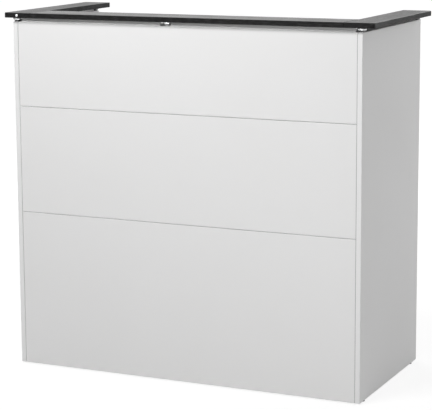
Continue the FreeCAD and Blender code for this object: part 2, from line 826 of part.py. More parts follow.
doc.recompute()
nodes = [
    *sides.values(),
    *fronts.values(),
    top_rail,
    worktop,
    bracket_left,
    bracket_right,
    bracket_front,
    bracket_screws,
    counter_front,
    *returns.values(),
    edge_cap,
    standoffs,
    standoff_studs,
    panel_inserts,
    counter_inserts,
    cam_housings,
    cam_bolts,
    dowels_node,
    grommet_sleeve,
    grommet_cap,
    *feet,
    foot_sockets,
]
for obj in doc.Objects:
    if "Invalid" in obj.State or "Error" in obj.State:
        raise RuntimeError(f"{obj.Label} did not compute: {obj.State}")
for node in nodes:
    if node.Shape.isNull() or not node.Shape.isValid():
        raise RuntimeError(f"{node.Label} has no valid shape")
os.makedirs("parts", exist_ok=True)
for node in nodes:
    node.Shape.exportStep(f"parts/{node.Label}.step")
    box = node.Shape.BoundBox
    print(f"{node.Label}: {len(node.Shape.Solids)} solids, z {box.ZMin:.1f} to {box.ZMax:.1f}")
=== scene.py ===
# %% [markdown]
# # A reception desk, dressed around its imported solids
#
# The desk is a white board carcass with a dark counter that floats above it on bright turned
# stand-offs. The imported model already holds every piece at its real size. This lesson keeps that frame
# fixed and gives it finishes, eased edges and small fittings, so that it looks as it does in a
# catalogue photograph.

# %% Load the frame
import json
import math

import bmesh
import bpy
from mathutils import Matrix, Vector


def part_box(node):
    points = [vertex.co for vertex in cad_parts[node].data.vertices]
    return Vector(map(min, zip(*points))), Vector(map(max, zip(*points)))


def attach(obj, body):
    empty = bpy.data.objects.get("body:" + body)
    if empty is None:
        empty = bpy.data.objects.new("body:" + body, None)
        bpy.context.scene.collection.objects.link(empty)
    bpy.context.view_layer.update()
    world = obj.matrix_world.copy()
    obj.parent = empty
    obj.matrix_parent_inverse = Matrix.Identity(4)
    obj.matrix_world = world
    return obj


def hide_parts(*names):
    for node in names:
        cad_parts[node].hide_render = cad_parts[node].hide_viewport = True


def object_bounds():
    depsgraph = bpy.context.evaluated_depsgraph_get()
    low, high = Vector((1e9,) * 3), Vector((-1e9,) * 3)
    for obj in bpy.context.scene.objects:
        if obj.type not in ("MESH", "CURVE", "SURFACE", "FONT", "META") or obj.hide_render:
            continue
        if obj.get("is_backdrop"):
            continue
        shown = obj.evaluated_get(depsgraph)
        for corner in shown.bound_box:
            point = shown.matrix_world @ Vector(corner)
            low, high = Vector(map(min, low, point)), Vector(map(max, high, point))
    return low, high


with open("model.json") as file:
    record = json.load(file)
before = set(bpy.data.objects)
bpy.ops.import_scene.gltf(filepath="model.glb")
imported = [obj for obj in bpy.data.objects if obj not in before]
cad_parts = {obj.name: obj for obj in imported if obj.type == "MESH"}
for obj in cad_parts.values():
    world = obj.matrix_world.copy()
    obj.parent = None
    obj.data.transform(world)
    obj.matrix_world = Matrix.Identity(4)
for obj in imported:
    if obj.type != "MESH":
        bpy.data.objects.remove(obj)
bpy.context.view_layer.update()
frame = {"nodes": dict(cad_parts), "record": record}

scene = bpy.context.scene
MM = 0.001

# %% [markdown]
# ## Shader maths that reads like maths
#
# A material is a graph of nodes, and long graphs are hard to read as calls. `Field` wraps one output
# socket and overloads the arithmetic signs, so `1 - mask * 0.3` adds the Math nodes by itself. Every
# other node comes from `Finish.node`, which sets the node's settings first and then its sockets.


# %% Fields
class Field:
    """One output socket of a finish's node tree."""

    def __init__(self, finish, socket):
        self.finish = finish
        self.socket = socket

    def joined(self, operation, first, second):
        """What a Math node makes of two fields or numbers."""
        return self.finish.node("ShaderNodeMath", {"operation": operation}, {0: first, 1: second})

    def __add__(self, other):
        return self.joined("ADD", self, other)

    def __radd__(self, other):
        return self.joined("ADD", other, self)

    def __sub__(self, other):
        return self.joined("SUBTRACT", self, other)

    def __rsub__(self, other):
        return self.joined("SUBTRACT", other, self)

    def __mul__(self, other):
        return self.joined("MULTIPLY", self, other)

    def __rmul__(self, other):
        return self.joined("MULTIPLY", other, self)

    def lowest(self, other):
        return self.joined("MINIMUM", self, other)


# %% Finishes
class Finish:
    """The node tree of a material, or of the room, in the making."""

    def __init__(self, owner):
        owner.use_nodes = True
        self.owner = owner
        self.tree = owner.node_tree
        self.tree.nodes.clear()

    def node(self, kind, settings=None, inputs=None, output=0):
        """Adds a node and returns one of its outputs, or all of them for an output of None."""
        made = self.tree.nodes.new(kind)
        for name, value in (settings or {}).items():
            setattr(made, name, value)
        for name, value in (inputs or {}).items():
            if isinstance(value, Field):
                self.tree.links.new(value.socket, made.inputs[name])
            else:
                made.inputs[name].default_value = value
        outputs = [Field(self, socket) for socket in made.outputs]
        if output is None:
            return outputs
        return outputs[made.outputs.find(output) if isinstance(output, str) else output]

    def place(self):
        """Where a point of the piece lies in the desk, in metres."""
        return self.node("ShaderNodeTexCoord", output="Object")

    def axes(self):
        """The same place as three fields, along X, Y and Z."""
        return self.node("ShaderNodeSeparateXYZ", {}, {0: self.place()}, None)

    def along(self, stretch):
        """The same place, stretched along each axis, for patterns that run in one direction."""
        return self.node("ShaderNodeVectorMath", {"operation": "MULTIPLY"}, {0: self.place(), 1: stretch})

    def noise(self, per_metre, detail=2.0, stretch=(1, 1, 1)):
        """Cloudy values from 0 to 1, about so many clouds in a metre."""
        inputs = {"Vector": self.along(stretch), "Scale": per_metre, "Detail": detail}
        return self.node("ShaderNodeTexNoise", {}, inputs, "Fac")

    def specks(self, per_metre):
        """The distance to the nearest of many scattered points, for grains and specks."""
        inputs = {"Vector": self.place(), "Scale": per_metre}
        return self.node("ShaderNodeTexVoronoi", {"feature": "F1"}, inputs, "Distance")

    def ramp(self, value, low, high):
        """Rises smoothly from 0 at low to 1 at high."""
        inputs = {"Value": value, "From Min": low, "From Max": high}
        return self.node("ShaderNodeMapRange", {"interpolation_type": "SMOOTHSTEP"}, inputs)

    def fall(self, value, low, high):
        """Falls smoothly from 1 at low to 0 at high."""
        return 1 - self.ramp(value, low, high)

    def inward(self, low, high, axes):
        """How far a point lies in from the nearest end of a board, along the named axes."""
        across = self.axes()
        nearest = None
        for axis in axes:
            for gap in (across[axis] - low[axis], high[axis] - across[axis]):
                nearest = gap if nearest is None else nearest.lowest(gap)
        return nearest

    def mix(self, factor, first, second):
        """A colour between two, by a factor from 0 to 1."""
        return self.node("ShaderNodeMix", {"data_type": "RGBA"}, {0: factor, 6: first, 7: second}, 2)

    def bump(self, height, depth):
        """A normal that follows a height field, whose full range is so many metres deep."""
        return self.node("ShaderNodeBump", {}, {"Height": height, "Distance": depth, "Strength": 1.0})

    def close(self, kind, surface):
        """Ends the graph in its output."""
        made = self.tree.nodes.new(kind)
        self.tree.links.new(surface.socket, made.inputs["Surface"])
        print(f"{self.owner.name}: {len(self.tree.nodes)} nodes")

    def done(self, inputs):
        """Ends the graph with the surface shader and returns the material."""
        self.close("ShaderNodeOutputMaterial", self.node("ShaderNodeBsdfPrincipled", {}, inputs))
        return self.owner


# %% Colours and directions
X, Y, Z = 0, 1, 2


def new_finish(name):
    """An empty material, ready for its nodes."""
    return Finish(bpy.data.materials.new(name))


def grey(level, warmth=0.0):
    """A neutral colour, a little warmer or cooler."""
    return (level * (1 + warmth), level, level * (1 - warmth), 1.0)


# %% [markdown]
# ## The white facing
#
# The carcass is chipboard with a white melamine facing. The facing is pressed against a steel plate
# with a faint pearl structure, so its gloss breaks up a little, and hands dull it in cloudy patches.
# The edges carry a band of the same white with a smoother face. Just under the counter a soft shadow
# is painted into the colour: the front and the front edges of the sides darken over their top
# centimetre. One image map for all boards would need unwrapping, so each board gets noise in metres
# instead, and its own box tells the shader where its edges are.

# %% White boards
WHITE_TONE = 0.82
CLOUD_SHADE = 0.975
BAND_SHADE = 1.01
SHUT_SHADE = 0.42
# The tone at the top of the painted shade under the counter, as a share of the board's white.
PAINTED_SHADE_TONE = 0.3
BAND_WIDTH = 1.0 * MM
HANDLED_STRIP = 14 * MM
HAIRLINE = 1.7 * MM
SEAM = 0.1 * MM
# Painted shade under the counter: how far down the face it reaches, how deep from the front it lies, and
# how strong it is.
PAINTED_SHADE_REACH = 13 * MM
PAINTED_SHADE_DEPTH = 3 * MM
PAINTED_SHADE_STRENGTH = 0.65
PEARL_DEPTH = 0.02 * MM


def white_facing(name, box, face_axis, butted=(), painted_shade=False, tone=WHITE_TONE):
    """A pale board in a box. Each butted axis comes with the width of the dark line at the board's ends."""
    finish = new_finish(f"white_{name}")
    low, high = box
    edge = finish.inward(low, high, [axis for axis in (X, Y, Z) if axis != face_axis])
    band = finish.fall(edge, BAND_WIDTH * 0.9, BAND_WIDTH * 1.1)
    patches = finish.ramp(finish.noise(per_metre=7.0, detail=4.0), low=0.45, high=0.75)
    handled = patches + finish.fall(edge, 0, HANDLED_STRIP) * 0.5
    clouds = finish.noise(per_metre=3.0, detail=3.0)
    pearl = finish.noise(per_metre=900.0, detail=1.0)
    ground = finish.mix(clouds, grey(tone), grey(tone * CLOUD_SHADE, warmth=0.004))
    colour = finish.mix(band, ground, grey(tone * BAND_SHADE))
    for axis, width in butted:
        shut = finish.inward(low, high, [axis])
        shadow = finish.fall(shut, width * 0.8, width)
        colour = finish.mix(shadow, colour, grey(tone * SHUT_SHADE))
    # Painted shade: the top centimetre of the front darkens towards the counter above, a soft shadow
    # painted into the colour.
    if painted_shade:
        across = finish.axes()
        below_top = finish.fall(high.z - across[Z], 0, PAINTED_SHADE_REACH)
        on_front = finish.fall(across[Y] - low.y, PAINTED_SHADE_DEPTH * 0.5, PAINTED_SHADE_DEPTH)
        painted_shade_under_counter = below_top * below_top * on_front * PAINTED_SHADE_STRENGTH
        colour = finish.mix(painted_shade_under_counter, colour, grey(tone * PAINTED_SHADE_TONE))
    return finish.done({
        "Base Color": colour,
        "Roughness": 0.40 + handled * 0.06 + pearl * 0.05 - band * 0.08,
        "Normal": finish.bump(pearl, PEARL_DEPTH),
        "IOR": 1.5,
    })


board_finishes = {}
for node in ("side_panel_left", "side_panel_right"):
    board_finishes[node] = white_facing(node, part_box(node), X, painted_shade=True)
front_lines = ((X, HAIRLINE), (Z, SEAM))
for node in ("front_panel_lower", "front_panel_middle", "front_panel_upper"):
    under_counter = node == "front_panel_upper"
    board_finishes[node] = white_facing(node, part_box(node), Y, front_lines, painted_shade=under_counter)
board_finishes["top_rail"] = white_facing("top_rail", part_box("top_rail"), Z)

# %% [markdown]
# ## The dark counter laminate
#
# The counter and the worktop have a nearly black laminate with a wood figure. Seen along the surface it
# mirrors the pale room, and seen from above it is dark, which the shader's own Fresnel gives. Broad
# bands of the figure, fine streaks and short open pores all run along the board. A wave texture would
# draw them as even stripes, so one noise is stretched in three scales. Sleeves have polished the front
# board more than the others. The edge band is matt, with a fainter print of the same wood that runs
# round the board's ends, so its noise is stretched along both X and Y. Where a board meets its
# neighbour, a black, matt line is painted at its end as the shadow of the joint.

# %% Dark boards
DARK_TONE = 0.014
STREAK_TONES = (DARK_TONE * 0.4, DARK_TONE * 2.6)
FIGURE_TONE = DARK_TONE * 4.0
PORE_TONE = DARK_TONE * 0.2
PRINT_TONES = (DARK_TONE * 0.1, DARK_TONE * 1.4)
JOINT_SHADOW_TONE = 0.0
POLISHED = 0.19
UNTOUCHED = 0.29
PORE_DEPTH = 0.05 * MM


def dark_laminate(node, run_axis, matt, butted_axis=None):
    """A dark board whose grain runs along run_axis. Its ends along butted_axis, where it meets a neighbour,
    get a painted shadow line.
    """
    finish = new_finish(f"dark_{node}")
    low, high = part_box(node)

    def grain(per_metre, detail, along):
        return finish.noise(per_metre, detail, [along if axis == run_axis else 1 for axis in (X, Y, Z)])

    figure = finish.ramp(grain(per_metre=30.0, detail=7.0, along=0.10), low=0.36, high=0.70)
    streaks = grain(per_metre=220.0, detail=4.0, along=0.04)
    pores = finish.ramp(grain(per_metre=600.0, detail=2.0, along=0.05), low=0.58, high=0.68)
    wiped = finish.ramp(finish.noise(per_metre=9.0, detail=4.0), low=0.4, high=0.8)
    ground = finish.mix(streaks, *map(grey, STREAK_TONES))
    figured = finish.mix(figure * 0.6, ground, grey(FIGURE_TONE, warmth=0.02))
    face_colour = finish.mix(pores * 0.7, figured, grey(PORE_TONE))
    band = finish.ramp(finish.inward(low, high, [Z]), BAND_WIDTH * 0.4, BAND_WIDTH * 0.6)
    print_noise = finish.noise(per_metre=340.0, detail=4.0, stretch=(0.14, 0.14, 1))
    printed = finish.ramp(print_noise, low=0.42, high=0.70)
    band_colour = finish.mix(printed, *map(grey, PRINT_TONES))
    colour = finish.mix(band, face_colour, band_colour)
    roughness = matt + wiped * 0.06 + streaks * 0.14 + figure * 0.12 + pores * 0.15 + band * 0.16
    if butted_axis is not None:
        # Painted shadow: a black, matt line at the ends where the board meets its neighbour.
        shut = finish.inward(low, high, [butted_axis])
        painted_joint_shadow = finish.fall(shut, HAIRLINE * 0.8, HAIRLINE)
        colour = finish.mix(painted_joint_shadow, colour, grey(JOINT_SHADOW_TONE))
        roughness = roughness + painted_joint_shadow * 0.6
    return finish.done({
        "Base Color": colour,
        "Roughness": roughness,
        "Normal": finish.bump(streaks * 0.6 - pores, PORE_DEPTH),
        "IOR": 1.27,
    })


board_finishes["counter_front"] = dark_laminate("counter_front", X, POLISHED, X)
board_finishes["counter_left"] = dark_laminate("counter_left", Y, UNTOUCHED)
board_finishes["counter_right"] = dark_laminate("counter_right", Y, UNTOUCHED)
board_finishes["worktop"] = dark_laminate("worktop", X, UNTOUCHED)

# %% [markdown]
# ## Bright plating
#
# The stand-offs and the small cap are plated after turning, so fine rings run round them. Their lips
# and the cap are polished, which makes them bright points under the counter. On the corner stand-offs a
# dark reflection is painted into the colour of the neck and the lip, and the lip keeps only a narrow
# bright band as a painted highlight, while the middle one keeps its pale satin neck. Two materials
# could show that, but the pieces are one slot, so one finish reads the height in the gap and the
# distance from the middle of the desk.

# %% Bright plating
POLISHED_LIP = 7.6 * MM
# Heights below the counter of the lip band that keeps its bright plating on the corner stand-offs, a
# painted highlight.
HIGHLIGHT_BAND_BELOW = (5.6 * MM, 3.4 * MM)
HIGHLIGHT_BAND_EDGE = 0.3 * MM
CORNERS_FROM = 0.3
CORNERS_TO = 0.4
GAP_EDGE = 1 * MM
RING_DEPTH = 0.01 * MM
CLEAN_PLATING = grey(0.82, warmth=-0.01)
SMUDGED_PLATING = grey(0.72)
# Painted dark reflection on the lips and necks of the corner stand-offs.
PAINTED_DARK_LIP = grey(0.20)
PAINTED_DARK_NECK = grey(0.12)
SATIN_NECK = grey(0.92)
gap_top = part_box("standoffs")[1].z


def plated_bright():
    finish = new_finish("chrome")
    rings = finish.noise(per_metre=260.0, detail=2.0, stretch=(0.05, 0.05, 12))
    smudge = finish.ramp(finish.noise(per_metre=90.0, detail=3.0), low=0.5, high=0.8)
    across = finish.axes()
    polished = finish.ramp(across[Z], gap_top - POLISHED_LIP, gap_top - POLISHED_LIP * 0.85)
    rises = [finish.ramp(across[Z], gap_top - below, gap_top - below + HIGHLIGHT_BAND_EDGE) for below in HIGHLIGHT_BAND_BELOW]
    painted_highlight_band = rises[0] - rises[1]
    off_middle = finish.node("ShaderNodeMath", {"operation": "ABSOLUTE"}, {0: across[X]})
    at_corner = finish.ramp(off_middle, CORNERS_FROM, CORNERS_TO)
    in_gap = finish.fall(across[Z], gap_top, gap_top + GAP_EDGE)
    # Painted dark reflection on the corner stand-offs in the gap, all but the painted highlight band; it
    # also makes them rougher.
    painted_dark_reflection = at_corner * in_gap * (1 - painted_highlight_band)
    satin = (1 - at_corner) * (1 - polished)
    bright = finish.mix(smudge, CLEAN_PLATING, SMUDGED_PLATING)
    lip_colour = finish.mix(painted_dark_reflection, bright, PAINTED_DARK_LIP)
    neck_colour = finish.mix(at_corner, SATIN_NECK, PAINTED_DARK_NECK)
    return finish.done({
        "Base Color": finish.mix(polished, neck_colour, lip_colour),
        "Metallic": 1.0,
        "Roughness": 0.20 + smudge * 0.10 + painted_dark_reflection * 0.10 + satin * 0.30 - polished * 0.14,
        "Normal": finish.bump(rings, RING_DEPTH),
    })


slot_finishes = {"chrome": plated_bright()}

# %% [markdown]
# ## Zinc plate
#
# Screws, cams, bolts, studs, inserts and the feet's sockets are steel under a thin zinc plate, which
# sets in small spangles and still shows the streaks of the drawn wire. A plain grey metal would look
# like the plating of the stand-offs. So scattered points give the spangles, and a noise that is drawn
# out upwards gives the streaks.

# %% Zinc plate
WIRE_STREAK_DEPTH = 0.02 * MM
BLUE_SPANGLE = grey(0.62, warmth=-0.02)
YELLOW_SPANGLE = grey(0.50, warmth=0.03)


def zinc_plate():
    finish = new_finish("zinc_steel")
    spangle = finish.specks(per_metre=700.0)
    streak = finish.noise(per_metre=400.0, detail=2.0, stretch=(1, 1, 0.1))
    return finish.done({
        "Base Color": finish.mix(spangle, BLUE_SPANGLE, YELLOW_SPANGLE),
        "Metallic": 1.0,
        "Roughness": 0.28 + streak * 0.15,
        "Normal": finish.bump(streak, WIRE_STREAK_DEPTH),
    })


slot_finishes["zinc_steel"] = zinc_plate()

# %% [markdown]
# ## Powder coat
#
# The angles under the worktop are powder coated in grey. The powder runs together in the oven, but
# never quite, so the paint keeps a fine peel about a millimetre across. Displacing the mesh that finely
# would cost far too many faces, so the peel is a bump.

# %% Powder coat
PEEL_DEPTH = 0.06 * MM
LIGHT_PAINT = grey(0.46, warmth=-0.01)
DARK_PAINT = grey(0.42)


def powder_coat():
    finish = new_finish("painted_steel")
    peel = finish.noise(per_metre=800.0, detail=2.0)
    clouds = finish.noise(per_metre=12.0, detail=2.0)
    return finish.done({
        "Base Color": finish.mix(clouds, LIGHT_PAINT, DARK_PAINT),
        "Roughness": 0.38 + peel * 0.15,
        "Normal": finish.bump(peel, PEEL_DEPTH),
    })


slot_finishes["painted_steel"] = powder_coat()

# %% [markdown]
# ## Moulded plastic
#
# The feet and the cable outlet are moulded in black plastic. The mould is etched, which leaves a fine
# grain that dulls the gloss, and dust gathers on it in patches. A flat black would hide the shape of
# the rims, so the dust also lifts the black a little.

# %% Moulded plastic
ETCH_DEPTH = 0.04 * MM
CLEAN_PLASTIC = grey(0.018)
DUSTY_PLASTIC = grey(0.040)


def moulded_plastic():
    finish = new_finish("black_plastic")
    grain = finish.noise(per_metre=1500.0, detail=2.0)
    dust = finish.ramp(finish.noise(per_metre=60.0, detail=4.0), low=0.5, high=0.8)
    return finish.done({
        "Base Color": finish.mix(dust * 0.5, CLEAN_PLASTIC, DUSTY_PLASTIC),
        "Roughness": 0.45 + grain * 0.2,
        "Normal": finish.bump(grain, ETCH_DEPTH),
    })


slot_finishes["black_plastic"] = moulded_plastic()

# %% [markdown]
# ## Raw beech
#
# The dowels are turned from raw beech, and they lie along the desk. They only show when the desk is
# taken apart, so rings of growth would be wasted on them: one noise, drawn out along X, gives the
# fibres.

# %% Raw beech
EARLY_WOOD = (0.60, 0.40, 0.24, 1)
LATE_WOOD = (0.45, 0.27, 0.14, 1)
FIBRE_DEPTH = 0.1 * MM


def raw_beech():
    finish = new_finish("beech")
    fibres = finish.noise(per_metre=300.0, detail=3.0, stretch=(0.05, 1, 1))
    return finish.done({
        "Base Color": finish.mix(fibres, EARLY_WOOD, LATE_WOOD),
        "Roughness": 0.6 + fibres * 0.2,
        "Normal": finish.bump(fibres, FIBRE_DEPTH),
    })


slot_finishes["beech"] = raw_beech()

# %% [markdown]
# ## Dressing the solids
#
# Each solid of the desk belongs to a slot of the record, such as zinc or plastic. The solids could be
# listed here one by one, but the record already says which slot each takes. A board keeps the finish
# that was made for its own box, and every other solid shares the finish of its slot.

# %% Dress the solids
for row in frame["record"]["subparts"]:
    solid = frame["nodes"][row["node"]]
    solid.data.materials.clear()
    solid.data.materials.append(board_finishes.get(row["node"]) or slot_finishes[row["material_slot"]])
print(f"{len(frame['nodes'])} solids have a finish, {len(board_finishes)} of them their own")

# %% [markdown]
# ## Joints of the counter
#
# Before boards are glued, their sharp edges are eased, so that a small step between them doesn't show,
# and the joint becomes a fine groove. The solids are loose triangles, so they are welded and their flat
# faces joined before the bevel. All of it is done by modifiers, because the solids stay as they were
# packed.

# %% Eased joints
EASED = 1.2 * MM
WELD_WITHIN = 0.01 * MM
FLAT_WITHIN = math.radians(1)
EDGE_FROM = math.radians(50)
for node in ("counter_left", "counter_front", "counter_right"):
    board = frame["nodes"][node]
    weld = board.modifiers.new("weld", "WELD")
    weld.merge_threshold = WELD_WITHIN
    flat = board.modifiers.new("flat", "DECIMATE")
    flat.decimate_type = "DISSOLVE"
    flat.angle_limit = FLAT_WITHIN
    eased = board.modifiers.new("eased", "BEVEL")
    eased.width = EASED
    eased.segments = 2
    eased.limit_method = "ANGLE"
    eased.angle_limit = EDGE_FROM
    print(f"{node}: joints eased by {EASED / MM:.1f} mm")

# %% [markdown]
# ## Tools for round fittings
#
# Almost every fitting is turned or moulded round, so most pieces start as a half profile that is spun
# about an upright axis. A real edge is never sharp: `soften` bevels every edge that turns a corner, and
# leaves the shallow steps between the facets of a round alone. Finished shapes become pieces that ride
# on a body.

# %% Spun and drawn shapes
MERGE_WITHIN = 0.001 * MM


def verts_of(geometry):
    return [part for part in geometry if isinstance(part, bmesh.types.BMVert)]


def edges_of(geometry):
    return [part for part in geometry if isinstance(part, bmesh.types.BMEdge)]


def spun(profile, segments):
    """Turns a half profile, pairs of radius and height in millimetres, about an upright axis."""
    shape = bmesh.new()
    chain = [shape.verts.new((radius * MM, 0, height * MM)) for radius, height in profile]
    links = [shape.edges.new(pair) for pair in zip(chain, chain[1:])]
    bmesh.ops.spin(shape, geom=chain + links, cent=(0, 0, 0), axis=(0, 0, 1), angle=math.tau,
                   steps=segments, use_merge=True)
    bmesh.ops.remove_doubles(shape, verts=shape.verts, dist=MERGE_WITHIN)
    bmesh.ops.recalc_face_normals(shape, faces=shape.faces)
    return shape


def drawn_out(outline, run):
    """A flat outline, drawn out along a run."""
    shape = bmesh.new()
    section = shape.faces.new([shape.verts.new(corner) for corner in outline])
    drawn = bmesh.ops.extrude_face_region(shape, geom=[section])["geom"]
    bmesh.ops.translate(shape, vec=run, verts=verts_of(drawn))
    bmesh.ops.recalc_face_normals(shape, faces=shape.faces)
    return shape


# %% Rounded edges
def rounded(shape, edges, radius, segments):
    """Rounds the given edges to a radius in millimetres."""
    bmesh.ops.bevel(shape, geom=edges, offset=radius * MM, offset_type="OFFSET", affect="EDGES",
                    segments=segments, profile=0.5, material=-1, clamp_overlap=True)


def soften(shape, radius, segments, from_angle=28):
    """Rounds every edge that turns by more than an angle in degrees."""
    corners = [edge for edge in shape.edges
               if edge.is_manifold and edge.calc_face_angle() > math.radians(from_angle)]
    rounded(shape, corners, radius, segments)


# %% Copies and pieces
SMOOTH_BELOW = math.radians(35)


def facing(place, outward):
    """A placing that stands a shape on a point, its upright axis along outward."""
    return Matrix.Translation(place) @ Vector(outward).to_track_quat("Z", "Y").to_matrix().to_4x4()


def repeated(shape, placings):
    """One shape with a copy of the given one at each placing."""
    pattern = bpy.data.meshes.new("pattern")
    shape.to_mesh(pattern)
    shape.free()
    whole = bmesh.new()
    for placing in placings:
        done = len(whole.verts)
        whole.from_mesh(pattern)
        bmesh.ops.transform(whole, matrix=placing, verts=whole.verts[done:])
    bpy.data.meshes.remove(pattern)
    return whole


def piece(name, shape, slot, body, *nodes, finish=None):
    """Makes a shape into a piece that rides on a body and stands for the given solids, if any."""
    mesh = bpy.data.meshes.new(name)
    shape.to_mesh(mesh)
    shape.free()
    mesh.shade_smooth()
    mesh.set_sharp_from_angle(angle=SMOOTH_BELOW)
    mesh.materials.append(finish or slot_finishes[slot])
    made = bpy.data.objects.new(name, mesh)
    scene.collection.objects.link(made)
    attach(made, body)
    if nodes:
        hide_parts(*nodes)
    print(f"{name}: {len(mesh.polygons)} faces")


# %% [markdown]
# ## Turned stand-offs
#
# Five plated stand-offs carry the counter over a shadow gap of a finger's width. Each flares from a
# narrow foot to a wide lip, so that the load spreads under the counter board. A cone would do from
# afar, but the hollow flare and the rounded lip are what catch the light, so the profile is spun with
# both.

# %% Stand-offs
STANDOFF_BORE = 4.25
STANDOFF_FOOT = 9.5
STANDOFF_LIP = 14
STANDOFF_TOP = 12
FLARE = (
    (STANDOFF_BORE, 0), (STANDOFF_FOOT, 0), (STANDOFF_FOOT, 2.4), (9.8, 3.2), (10.7, 4.4), (12.2, 5.4),
    (13.5, 6.1), (STANDOFF_LIP, 6.6), (STANDOFF_LIP, STANDOFF_TOP), (STANDOFF_BORE, STANDOFF_TOP),
    (STANDOFF_BORE, 0),
)
MIDDLE_STANDOFF = (-54 * MM, -243 * MM)
standoff_low, standoff_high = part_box("standoffs")
far_x = standoff_high.x - STANDOFF_LIP * MM
far_y = standoff_high.y - STANDOFF_LIP * MM
standoff_places = {
    "standoff_front_left": (-far_x, -far_y),
    "standoff_front_right": (far_x, -far_y),
    "standoff_rear_left": (-far_x, far_y),
    "standoff_rear_right": (far_x, far_y),
    "standoff_front_middle": MIDDLE_STANDOFF,
}
for name, (x, y) in standoff_places.items():
    turned = spun(FLARE, segments=64)
    soften(turned, radius=0.45, segments=3)
    bmesh.ops.translate(turned, vec=(x, y, standoff_low.z), verts=turned.verts)
    piece(name, turned, "chrome", "desk", "standoffs")

# %% [markdown]
# ## Strips in the shadow gap
#
# Between the stand-offs a light grey strip stands on the boards, a little behind their faces. It closes
# the gap, so the shadow under the counter fades softly and nobody sees through. Its foot comes forward
# in a hollow cove, so it is one small section drawn out along each run. A flat board there would look
# like a black slot.

# %% Gap strips
STRIP_TOP = 11.9
STRIP_BACK = 9.5
STRIP_SECTION = (
    (0, 0), (0, 0.3), (2.5, 0.8), (4.8, 2), (6.4, 3.8), (7.2, 6),
    (7.5, STRIP_TOP), (STRIP_BACK, STRIP_TOP), (STRIP_BACK, 0),
)
STRIP_SETBACK = 3.5 * MM
STRIP_CLEARANCE = 3 * MM
STRIP_TONE = 0.60


def gap_strip(name, start, end, outward):
    """A strip between two points under the counter, its foot towards outward."""
    outline = [start - outward * (STRIP_SETBACK + depth * MM) + Vector((0, 0, height * MM))
               for depth, height in STRIP_SECTION]
    run = end - start
    shape = drawn_out(outline, run)
    soften(shape, radius=0.25, segments=2)
    front_foot = outline[0]
    back_top = outline[-2] + run
    box = [Vector(map(pick, front_foot, back_top)) for pick in (min, max)]
    piece(name, shape, "white_board", "desk", finish=white_facing(name, box, Y, tone=STRIP_TONE))


gap_floor = standoff_low.z
face_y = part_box("front_panel_upper")[0].y
face_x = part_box("side_panel_right")[1].x
reach = STANDOFF_LIP * MM + STRIP_CLEARANCE
middle_x = MIDDLE_STANDOFF[X]
front_runs = {
    "gap_strip_front_left": (-far_x + reach, middle_x - reach),
    "gap_strip_front_right": (middle_x + reach, far_x - reach),
}
for name, ends in front_runs.items():
    start, end = (Vector((x, face_y, gap_floor)) for x in ends)
    gap_strip(name, start, end, Vector((0, -1, 0)))
for name, side in (("gap_strip_left", -1), ("gap_strip_right", 1)):
    start, end = (Vector((side * face_x, y, gap_floor)) for y in (-far_y + reach, far_y - reach))
    gap_strip(name, start, end, Vector((side, 0, 0)))

# %% [markdown]
# ## The cap in the counter's edge
#
# A small plated cap closes the screw hole in the end of the left return. It is a shallow dome, which is
# why it shows as one bright point from almost anywhere. A slice of a sphere would show the same dome,
# but a spun profile also gives the cap its rim and the peg behind it. It is spun upright and then laid
# to face forwards.

# %% Edge cap
DOME = (
    (0, 0), (1.8, -0.08), (3.4, -0.30), (4.4, -0.60), (4.9, -0.95),
    (4.9, -2), (3, -2), (3, -8), (0, -8),
)
cap_low, cap_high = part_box("edge_cap_left")
cap_middle = (cap_low + cap_high) / 2
dome = spun(DOME, segments=40)
dome.transform(facing((cap_middle.x, cap_low.y, cap_middle.z), (0, -1, 0)))
piece("edge_cap_dome", dome, "chrome", "desk", "edge_cap_left")

# %% [markdown]
# ## Heads with a cross recess
#
# Screws and cam drums are both driven by a cross recess. A dark cross painted on would vanish up close,
# so the recess is real: a cross outline and a circle are filled as one face, the cross is pushed down,
# and the circle is drawn out and down into the rim.

# %% Cross recess
HEAD_SEGMENTS = 36
RECESS_TAPER = 0.7


def cross_outline(shape, arm, width):
    """Four arms about the origin, sizes in millimetres, as a ring of edges."""
    quarter = [(arm, -width / 2), (arm, width / 2), (width / 2, width / 2)]
    cross = []
    for step in range(4):
        swing = Matrix.Rotation(step * math.pi / 2, 3, "Z")
        cross += [shape.verts.new(swing @ Vector((x * MM, y * MM, 0))) for x, y in quarter]
    return [shape.edges.new(pair) for pair in zip(cross, cross[1:] + cross[:1])]


def driven_head(rim, arm, width, depth):
    """A head with its top face on Z = 0. The rim is pairs of radius and height, from the top outwards."""
    shape = bmesh.new()
    top_radius = rim[0][0] * MM
    bmesh.ops.create_circle(shape, cap_ends=False, radius=top_radius, segments=HEAD_SEGMENTS)
    ring = shape.edges[:]
    cross = cross_outline(shape, arm, width)
    bmesh.ops.triangle_fill(shape, use_beauty=True, use_dissolve=False, edges=ring + cross)
    pushed = bmesh.ops.extrude_edge_only(shape, edges=cross)["geom"]
    bmesh.ops.translate(shape, vec=(0, 0, -depth * MM), verts=verts_of(pushed))
    bmesh.ops.scale(shape, vec=(RECESS_TAPER, RECESS_TAPER, 1), verts=verts_of(pushed))
    bmesh.ops.contextual_create(shape, geom=edges_of(pushed))
    for (radius, height), (next_radius, next_height) in zip(rim, rim[1:]):
        drawn = bmesh.ops.extrude_edge_only(shape, edges=ring)["geom"]
        ring = edges_of(drawn)
        widening = next_radius / radius
        bmesh.ops.translate(shape, vec=(0, 0, (next_height - height) * MM), verts=verts_of(drawn))
        bmesh.ops.scale(shape, vec=(widening, widening, 1), verts=verts_of(drawn))
    bmesh.ops.contextual_create(shape, geom=ring)
    bmesh.ops.recalc_face_normals(shape, faces=shape.faces)
    return shape


# %% [markdown]
# ## Screws of the worktop angles
#
# Four pan-head screws hold each angle, two into the wall board and two up into the worktop. Their
# places could be written down, but they follow from the angle's own box, so that they stay on it if the
# desk changes.

